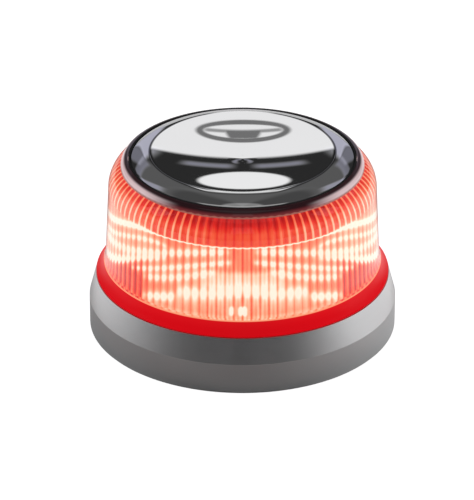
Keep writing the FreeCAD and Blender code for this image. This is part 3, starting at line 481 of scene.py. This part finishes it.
def crown_finish(flutes):
    """Smooth glossy ring round the cap, its light and shade painted in its glow: dark at front and back and
    darker towards the top, a painted bright toothed line along its foot, and painted pale light at the sides.
    """
    finish = Finish("smooth_crown")
    across, along, up = finish.place()
    side = abs(across / distance(across, along))
    flow = finish.grain(60.0, 3.0)
    tooth = flute_phase(finish, across, along, flutes).triangle()
    # Painted light and shade: a bright tan line with a toothed top along the crown's foot, and a ring that
    # darkens towards its top.
    line = 1 - (up - tooth * 0.3).rise(67.3, 67.6)
    foot = 1 - up.rise(67.8, 69.2)
    dark = finish.mix(foot, (0.008, 0.004, 0.005, 1.0), (0.14, 0.024, 0.027, 1.0))
    dark = finish.mix(line, dark, (0.33, 0.11, 0.085, 1.0))
    # Painted light: the sides of the ring turn pale.
    pale = finish.mix(flow, (0.52, 0.36, 0.37, 1.0), (0.70, 0.58, 0.60, 1.0))
    glow = side.rise(0.50, 0.82) * up.band(67.7, 69.3, 0.35)
    return finish.surface(
        Base_Color=(0.03, 0.004, 0.006, 1.0),
        Roughness=0.04 + flow * 0.03,
        Emission_Color=finish.mix(glow, dark, pale),
        Emission_Strength=1.0,
    )


def lit_flutes_finish(settings):
    """Inside of the lens: lit columns between the flutes, in rows that sink towards the sides."""
    finish = Finish("lit_flutes")
    across, along, up = finish.place()
    side = abs(across / distance(across, along))
    phase = flute_phase(finish, across, along, settings.flutes)
    ridge = phase.triangle()
    fine = (phase * 2.0).triangle()
    merged = side.rise(0.88, 0.99) * 0.3
    hot = ridge.rise(0.22, 0.70)
    hot = hot + (1 - hot) * merged
    gap = 1 - ridge.rise(0.02, 0.22)
    middle = 1 - side.rise(0.22, 0.40)
    streak = finish.grain(330.0, 2.0, (1.0, 1.0, 0.12))
    fleck = finish.grain(520.0, 2.0, (1.0, 1.0, 0.5))

    def height_of(curve):
        """Height of a row by the side share."""
        return curve[0] + side * (curve[1] + side * curve[2])

    def row(curve, reach, first, last=NEVER):
        """A lit row: its curve, its half height, and the side shares where it starts and stops."""
        return ((up - height_of(curve)) / reach).bell() * side.rise(*first) * (1 - side.rise(*last))

    rows = row((24.84, 90.34, -71.67), 1.4, (0.50, 0.66)) * 0.8
    rows = rows + row((55.0, 0.1, -14.9), 2.0, (0.06, 0.18))
    rows = rows + row(SUNK_ROW, 1.7, (0.52, 0.70)) * (1 + side.rise(0.76, 0.92))
    rows = rows + row((51.08, -3.93, -14.74), 1.6, (0.05, 0.14), (0.76, 0.88)) * 0.85
    rows = rows + row((50.04, -17.64, 0.0), 1.9, (0.16, 0.30), (0.67, 0.76)) * 0.9
    belt = row((38.6, -5.75, 0.0), 3.3, ALWAYS, (0.43, 0.51))
    belt = belt + row((42.35, -17.94, 0.0), 2.2, (0.48, 0.53), (0.68, 0.76))
    sag = (side - 0.72).larger(0.0)
    line_away = (up - 56.5 + sag * sag * 98.0) / (0.32 + side.rise(0.60, 0.86) * 1.1)
    line = line_away.bell() * (0.66 + side.rise(0.50, 0.85) * 0.34)
    left = 1 - across.rise(-2.0, -1.0)
    spot = 1 - side.rise(0.012, 0.046) + side.band(0.066, 0.098, 0.014) * left * 0.8
    spot = spot * up.band(28.8, 32.2, 1.0)

    sunk = (up - height_of(SUNK_ROW)).rise(-3.0, 1.0)
    flank = side.rise(0.45, 0.75)
    zone = up.band(39.5, 46.5, 1.5) * middle * 0.28
    low = 1 - up.rise(33.0, 37.0)
    foot = 1 - up.rise(27.6, 29.2)
    heat = 0.50 + zone + low * (1 - flank) * 0.12 + foot * 0.08
    dull = side.rise(0.66, 0.80) * (1 - sunk)
    heat = heat + side.rise(0.50, 0.75) * sunk * 0.10 - dull * (0.24 - (ridge - 0.5) * 0.34)
    heat = heat + rows * (0.27 + hot * 0.52) + belt * (0.48 + hot * 0.36) + spot * 0.8
    heat = heat + (ridge - 0.5) * 0.12 + middle * (fine - 0.5) * 0.20 - gap * 0.10
    heat = heat + (streak - 0.5) * 0.34 + (fleck - 0.5) * 0.14

    top = up.rise(60.5, 64.5)
    rib = ridge.rise(0.52, 0.86)
    dome = 0.29 - top * 0.26 + side.rise(0.55, 0.98) * 0.16 + (streak - 0.5) * 0.2
    dome = dome + rib * (0.10 + side.rise(0.12, 0.50) * 0.34) + (fine - 0.5) * middle * 0.14
    above = up.rise(56.6, 57.0)
    level = heat + (dome - heat) * above + line
    return finish.surface(
        Base_Color=(0.25, 0.01, 0.01, 1.0),
        Roughness=0.25 + fleck * 0.2,
        Emission_Color=finish.ramp(level.clip(), HEAT_COLOURS),
        Emission_Strength=1.0,
        Alpha=0.94,
    )


def floor_finish():
    """Pale floor, white to the eye and through glass; gloss sees painted light and shade on it, dark near the
    base.
    """
    finish = Finish("floor")
    across, along, _ = finish.place()
    away = distance(across, along)
    lateral = across / away
    sideways = abs(lateral)
    facing = along / away
    # What gloss sees here is painted light and shade: dark near the base and in front of it, lighter to the
    # sides and more so to the right, a painted shadow straight behind the base, and a paler zone far behind.
    near = sideways * sideways * (0.28 + lateral * 0.12)
    beam = (facing + lateral * 0.1).rise(-0.85, 0.25)
    hidden = facing.rise(0.55, 0.80) * away.rise(76.0, 92.0)
    tone = near + away.rise(70.0, 105.0) * beam * (1 - hidden) * (0.88 + lateral * 0.12)
    tone = tone.larger(away.rise(260.0, 420.0) * facing.rise(0.3, 0.6) * 0.4)
    path = finish.tree.nodes.new("ShaderNodeLightPath")
    seen = Field(path.outputs["Is Camera Ray"]).larger(Field(path.outputs["Is Transmission Ray"]))
    seen = seen.larger(Field(path.outputs["Is Glossy Ray"]) * tone)
    grain = finish.grain(90.0)
    return finish.surface(
        Base_Color=finish.mix(grain, (0.54, 0.54, 0.54, 1.0), (0.58, 0.58, 0.58, 1.0)),
        Roughness=0.9,
        Specular_IOR_Level=0.0,
        Emission_Color=finish.mix(seen, BLACK, (0.95, 0.95, 0.95, 1.0)),
        Emission_Strength=1.0,
    )


def backdrop_finish():
    """White backdrop that only the eye sees."""
    finish = Finish("backdrop")
    return finish.surface(
        Base_Color=BLACK, Emission_Color=WHITE, Emission_Strength=1.0)


def arc_points(start, finish, radius, side, steps):
    """Points along an arc without its end; side 1 bulges to the left of the way."""
    a, b = Vector(start), Vector(finish)
    half = (b - a) / 2
    left = Vector((-half.y, half.x)).normalized()
    centre = a + half - left * side * math.sqrt(radius * radius - half.length_squared)
    first = a - centre
    sweep = first.angle_signed(b - centre)
    turned = []
    for step in range(steps):
        turn = Matrix.Rotation(-sweep * step / steps, 2)
        turned.append(tuple(centre + turn @ first))
    return turned


def spun(bm, section, steps, sweep=2 * math.pi, start=0.0, closed=True):
    """Turns a section of (radius, height) points in millimetres round the axis."""
    turn = Matrix.Rotation(start, 3, "Z")
    verts = [bm.verts.new(turn @ Vector((radius * MM, 0.0, up * MM))) for radius, up in section]
    pairs = list(zip(verts, verts[1:]))
    if closed:
        pairs.append((verts[-1], verts[0]))
    edges = [bm.edges.new(pair) for pair in pairs]
    whole = abs(sweep) >= 2 * math.pi - 1e-6
    bmesh.ops.spin(
        bm, geom=verts + edges, cent=(0, 0, 0), axis=(0, 0, 1), dvec=(0, 0, 0), angle=sweep, steps=steps,
        use_merge=whole, use_normal_flip=False, use_duplicate=False)


def close_up(bm):
    """Merges doubled points and turns every face outwards."""
    bmesh.ops.remove_doubles(bm, verts=bm.verts, dist=1e-7)
    bmesh.ops.recalc_face_normals(bm, faces=bm.faces)


def shade(bm, sharp_angle):
    """Smooth faces with sharp edges where two faces meet at more than an angle in degrees."""
    limit = math.radians(sharp_angle)
    for face in bm.faces:
        face.smooth = True
    for edge in bm.edges:
        edge.smooth = len(edge.link_faces) == 2 and edge.calc_face_angle(0.0) < limit


def finish_piece(bm, name, body, node, slot, *finishes):
    """Writes a mesh as a piece that stands for a CAD node and rides on its body."""
    mesh = bpy.data.meshes.new(name)
    bm.to_mesh(mesh)
    bm.free()
    for material in finishes:
        mesh.materials.append(material)
    piece = bpy.data.objects.new(name, mesh)
    bpy.context.scene.collection.objects.link(piece)
    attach(piece, body)
    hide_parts(node)


def dress(nodes):
    """Gives CAD nodes the finish of their slot."""
    slots = {row["node"]: row["material_slot"] for row in frame["record"]["subparts"]}
    for node in nodes:
        material = bpy.data.materials.get(slots[node]) or inner_finish(slots[node])
        mesh = frame["nodes"][node].data
        mesh.materials.clear()
        mesh.materials.append(material)


def lens_outside():
    """Outer section of the lens, from the spigot's foot to the ledge under the cap."""
    outside = LENS_SPIGOT + arc_points(FLANGE_EDGE, FLANGE_TOP, FLARE_ROUND, 1, 9)
    outside += arc_points(FLANGE_TOP, WALL_FOOT, FLARE_ROUND, 1, 8) + WALL_STEPS
    outside += arc_points(WALL_TOP, CROWN_FOOT, SHOULDER_ROUND, -1, 14)
    outside += arc_points(CROWN_FOOT, CROWN_TOP, CROWN_ROUND, -1, 8)
    return outside + CAP_SEAT


def lens_inside(wall):
    """Fluted part of the lens's inner section, from the shoulder down."""
    radius, top = WALL_TOP[0] - wall, WALL_TOP[1]
    shares = [span / FLUTE_SPANS for span in range(FLUTE_SPANS)]
    down = [(radius + FLUTE_LEAN * share, top - FLUTE_LENGTH * share) for share in shares]
    return SHOULDER_INSIDE + down + [(WALL_FOOT[0] - wall, SPIGOT_INSIDE[0][1])]


def press_flutes(bm, inner, inside, settings):
    """Presses flutes into the points of the inner section and marks those points."""
    near = 2e-6
    for vert in bm.verts:
        radius = math.hypot(vert.co.x, vert.co.y)
        if any(abs(r * MM - radius) < near and abs(up * MM - vert.co.z) < near for r, up in inside):
            phase = (math.atan2(vert.co.x, -vert.co.y) / (2 * math.pi) * settings.flutes) % 1.0
            crest = abs(2 * phase - 1)
            scale = 1 - settings.flute_depth * crest / radius
            vert.co.x *= scale
            vert.co.y *= scale
            vert[inner] = 1


def sort_lens_faces(bm, inner):
    """Gives each face of the lens its finish; the skin is what remains."""
    for face in bm.faces:
        middle = face.calc_center_median() / MM
        reach = middle.xy.length
        lit_foot = 23.6 < middle.z < 27.3 and reach < 50.3
        if lit_foot or all(vert[inner] for vert in face.verts):
            face.material_index = LIT
        elif middle.z < FLANGE_TOP[1]:
            face.material_index = FLANGE
        elif middle.z > CROWN_FOOT[1] or reach < 43.6:
            face.material_index = CROWN


def add_lug(bm, start):
    """Adds one locking lug from a start angle."""
    part = bmesh.new()
    spun(part, LUG_SECTION, 12, math.radians(LUG_SWEEP), start)
    bmesh.ops.holes_fill(part, edges=part.edges)
    close_up(part)
    mesh = bpy.data.meshes.new("lug")
    part.to_mesh(mesh)
    part.free()
    first = len(bm.faces)
    bm.from_mesh(mesh)
    bpy.data.meshes.remove(mesh)
    bm.faces.ensure_lookup_table()
    for face in bm.faces[first:]:
        face.material_index = FLANGE


class BEACON_OT_base(bpy.types.Operator):
    """Cast base with satin paint: the CAD housing merged and shaded smooth"""

    bl_idname = "beacon.base"
    bl_label = "Base"

    def execute(self, context):
        bm = bmesh.new()
        bm.from_mesh(frame["nodes"]["base_housing"].data)
        bmesh.ops.remove_doubles(bm, verts=bm.verts, dist=1e-6)
        shade(bm, sharp_angle=10.0)
        finish = paint_finish(context.scene.beacon_metal.paint)
        finish_piece(bm, "painted_base", "base", "base_housing", "base_paint", finish)
        return {"FINISHED"}


class BEACON_OT_seals(bpy.types.Operator):
    """Rubber seals and the cable grommet"""

    bl_idname = "beacon.seals"
    bl_label = "Seals"

    def execute(self, context):
        dress(SEAL_NODES)
        return {"FINISHED"}


class BEACON_OT_driver(bpy.types.Operator):
    """Driver board with its parts, spacers, screws and leads"""

    bl_idname = "beacon.driver"
    bl_label = "Driver board"

    def execute(self, context):
        dress(DRIVER_NODES)
        return {"FINISHED"}


class BEACON_OT_engine(bpy.types.Operator):
    """Heat sink, diode board, lit diodes and the mirrored trumpet"""

    bl_idname = "beacon.engine"
    bl_label = "Light engine"

    def execute(self, context):
        diode_finish()
        mirror_finish()
        dress(ENGINE_NODES)
        dress(LIGHT_NODES)
        return {"FINISHED"}


class BEACON_OT_lens(bpy.types.Operator):
    """Red lens: clear skin outside, lit flutes inside, flange, crown and four locking lugs"""

    bl_idname = "beacon.lens"
    bl_label = "Lens"

    def execute(self, context):
        settings = context.scene.beacon_lens
        inside = lens_inside(settings.wall / MM)
        bm = bmesh.new()
        inner = bm.verts.layers.int.new("inner")
        spun(bm, lens_outside() + inside + SPIGOT_INSIDE, 4 * settings.flutes)
        close_up(bm)
        press_flutes(bm, inner, inside, settings)
        sort_lens_faces(bm, inner)
        shade(bm, sharp_angle=14.0)
        for index in range(LUG_COUNT):
            add_lug(bm, math.radians(index * 360.0 / LUG_COUNT - LUG_SWEEP / 2))
        finish_piece(bm, "fluted_lens", "lens", "lens", "red_lens",
                     skin_finish(), lit_flutes_finish(settings), flange_finish(settings.skin),
                     crown_finish(settings.flutes))
        return {"FINISHED"}


class BEACON_OT_cap(bpy.types.Operator):
    """Dished mirror cap, its retainer and screws"""

    bl_idname = "beacon.cap"
    bl_label = "Mirror cap"

    def execute(self, context):
        top = CAP_TIP + arc_points(CAP_TIP[-1], DISH_EDGE, DISH_ROUND, -1, 30)[1:]
        top += arc_points(DISH_EDGE, CREST, CREST_ROUND, 1, 3)
        top += arc_points(CREST, CAP_SHOULDER, CAP_SHOULDER_ROUND, 1, 24) + CAP_EDGE
        bm = bmesh.new()
        spun(bm, top + CAP_UNDER, 240, closed=False)
        close_up(bm)
        shade(bm, sharp_angle=25.0)
        finish_piece(bm, "dished_cap", "lens", "mirror_cap", "chrome_cap",
                     chrome_finish(context.scene.beacon_metal.chrome))
        dress(CAP_NODES)
        return {"FINISHED"}


class BEACON_OT_stage(bpy.types.Operator):
    """Floor, backdrop, studio light and camera"""

    bl_idname = "beacon.stage"
    bl_label = "Stage"

    def execute(self, context):
        scene = context.scene
        settings = scene.beacon_stage
        scene.view_settings.view_transform = "Standard"
        self.floor()
        self.backdrop()
        self.studio(scene)
        for lamp in LAMPS:
            self.lamp(*lamp)
        camera = bpy.data.objects.new("camera", bpy.data.cameras.new("camera"))
        scene.collection.objects.link(camera)
        aim = Vector(settings.aim)
        away = Vector((0.0, -math.cos(settings.elevation), math.sin(settings.elevation)))
        camera.location = aim + away * settings.distance
        camera.rotation_euler = away.to_track_quat("Z", "Y").to_euler()
        camera.data.sensor_fit = "HORIZONTAL"
        camera.data.sensor_width = 36.0
        camera.data.lens = settings.focal
        camera.data.clip_end = 50.0
        scene.camera = camera
        return {"FINISHED"}

    def keep(self, bm, name, material):
        """Writes a mesh as part of the stage."""
        mesh = bpy.data.meshes.new(name)
        bm.to_mesh(mesh)
        bm.free()
        mesh.materials.append(material)
        card = bpy.data.objects.new(name, mesh)
        bpy.context.scene.collection.objects.link(card)
        return card

    def floor(self):
        """Wide ring: its hole lies under the base, so the underside shows from below."""
        bm = bmesh.new()
        for radius in (FLOOR_HOLE, FLOOR_EDGE):
            bmesh.ops.create_circle(bm, segments=96, radius=radius)
        bmesh.ops.bridge_loops(bm, edges=bm.edges)
        bmesh.ops.translate(bm, vec=(0.0, 0.0, -FLOOR_DROP), verts=bm.verts)
        bmesh.ops.recalc_face_normals(bm, faces=bm.faces)
        self.keep(bm, "floor", floor_finish())

    def backdrop(self):
        """White sphere round the scene that lights nothing."""
        bm = bmesh.new()
        bmesh.ops.create_uvsphere(bm, u_segments=48, v_segments=24, radius=BACKDROP_RADIUS)
        card = self.keep(bm, "backdrop", backdrop_finish())
        card.visible_diffuse = False
        card.visible_glossy = False
        card.visible_transmission = False
        card.visible_shadow = False

    def studio(self, scene):
        """World of soft boxes and dark flags; most of them stand behind the beacon."""
        world = bpy.data.worlds.new("studio")
        scene.world = world
        finish = Finish("studio", world)
        across, along, up = finish.split(finish.node("ShaderNodeTexCoord", output="Generated"))
        degrees = 180.0 / math.pi
        height = up.math("ARCSINE", up) * degrees
        turn = up.math("ARCTAN2", across, along) * degrees
        away = abs(((turn + 45.0) / 90.0).fraction() * 90.0 - 45.0)
        behind = along.rise(-0.05, 0.05)
        flat = distance(across, along)
        lateral = abs(across) / flat
        facing = along / flat

        def oval(middle, tall, wide):
            """1 on an oval's edge, by the squares of its half height and half width in degrees."""
            rise = height - middle
            return (rise * rise / tall + away * away / wide).sqrt()

        card = (1 - oval(13.75, 27.5, 7.6).rise(0.93, 1.07)) * behind
        beam = (facing + across / flat * 0.1).rise(-0.85, 0.25) * (1 - facing.rise(0.45, 0.70))
        sides = beam * height.band(-8.0, 17.0, 2.5)
        boxes = height.rise(79.0, 82.0)
        over = height.rise(25.2, 26.8) * (1 - height.rise(46.0, 52.0)) * (1 - away.rise(9.6, 10.8))
        over = over * (0.4 + lateral.larger(behind) * 0.6)
        ring = (1 - oval(37.6, 21.2, 36.0).rise(0.94, 1.06)) * oval(37.6, 7.8, 25.0).rise(0.93, 1.07)
        pupil = height.band(34.8, 38.0, 0.3) * (1 - (away + (38.0 - height) * 0.25).rise(2.1, 2.8))
        bar = height.band(37.0, 38.3, 0.4) * (1 - away.rise(4.4, 5.6)) * 0.8
        figure = ring.larger(pupil).larger(bar) * behind
        wing = height.band(0.0, 26.0, 2.0) * away.band(7.8, 17.0, 1.0) * (0.25 + behind * 0.75)
        tail = height.band(-2.0, 26.0, 2.0) * away.band(17.0, 27.0, 2.0) * behind
        brow = height.band(-10.0, 6.5, 0.8) * (1 - away.rise(8.0, 15.0)) * behind
        window = height.band(28.0, 48.0, 4.0) * lateral.band(0.68, 0.88, 0.03) * behind
        haze = height.band(29.0, 54.0, 4.0) * away.rise(11.0, 15.0) * behind
        flank = height.band(23.0, 31.0, 1.5) * away.band(17.0, 42.0, 2.5) * behind
        gleam = height.band(20.9, 22.9, 0.8) * away.band(0.9, 4.8, 0.6) * behind
        rim = (1 - behind) * height.band(66.0, 83.0, 2.0)
        below = 1 - height.rise(-40.0, -20.0)
        level = 0.025 + height.rise(48.0, 58.0) * (0.09 - lateral.rise(0.2, 0.5) * 0.05)
        for light, strength in (
            (sides, 0.6), (card, 0.90), (rim, 0.28), (boxes, 0.18), (over * (1 - figure * 0.82), 0.88),
            (flank, 0.18), (gleam, 0.26), (wing.larger(brow), 0.52), (tail, 0.18), (window, 0.28),
            (haze, 0.08), (below, 0.45),
        ):
            level = level + light * strength
        cool = (wing + tail + flank + gleam + window).clip()
        tint = finish.mix(cool, WHITE, (0.84, 0.84, 1.0, 1.0))
        background = finish.tree.nodes["Background"]
        plug(background.inputs["Color"], finish.mix(level.clip(), BLACK, tint))

    def lamp(self, name, place, size, power):
        """Round soft lamp, turned to the beacon and unseen in its gloss."""
        light = bpy.data.lights.new(name, "AREA")
        light.shape = "DISK"
        light.size = size
        light.energy = power
        lamp = bpy.data.objects.new(name, light)
        bpy.context.scene.collection.objects.link(lamp)
        lamp.location = place
        lamp.rotation_euler = (Vector(place) - Vector(LAMP_AIM)).to_track_quat("Z", "Y").to_euler()
        lamp.visible_glossy = False


class BEACON_PT_panel(bpy.types.Panel):
    """Lists the beacon's sizes, colours and pieces"""

    bl_idname = "BEACON_PT_panel"
    bl_label = "Beacon"
    bl_space_type = "VIEW_3D"
    bl_region_type = "UI"
    bl_category = "Beacon"

    def draw(self, context):
        for group in (context.scene.beacon_lens, context.scene.beacon_metal, context.scene.beacon_stage):
            for name in group.__annotations__:
                self.layout.prop(group, name)
        for piece in PIECES:
            self.layout.operator(f"beacon.{piece}")


PIECES = ("base", "seals", "driver", "engine", "lens", "cap", "stage")
GROUPS = {"beacon_lens": BeaconLens, "beacon_metal": BeaconMetal, "beacon_stage": BeaconStage}
CLASSES = (
    BeaconLens, BeaconMetal, BeaconStage, BEACON_OT_base, BEACON_OT_seals, BEACON_OT_driver, BEACON_OT_engine,
    BEACON_OT_lens, BEACON_OT_cap, BEACON_OT_stage, BEACON_PT_panel,
)


def register():
    for item in CLASSES:
        bpy.utils.register_class(item)
    for name, group in GROUPS.items():
        setattr(bpy.types.Scene, name, bpy.props.PointerProperty(type=group))


def unregister():
    for name in GROUPS:
        delattr(bpy.types.Scene, name)
    for item in reversed(CLASSES):
        bpy.utils.unregister_class(item)


def main():
    register()
    for piece in PIECES:
        getattr(bpy.ops.beacon, piece)()


if __name__ == "__main__":
    main()
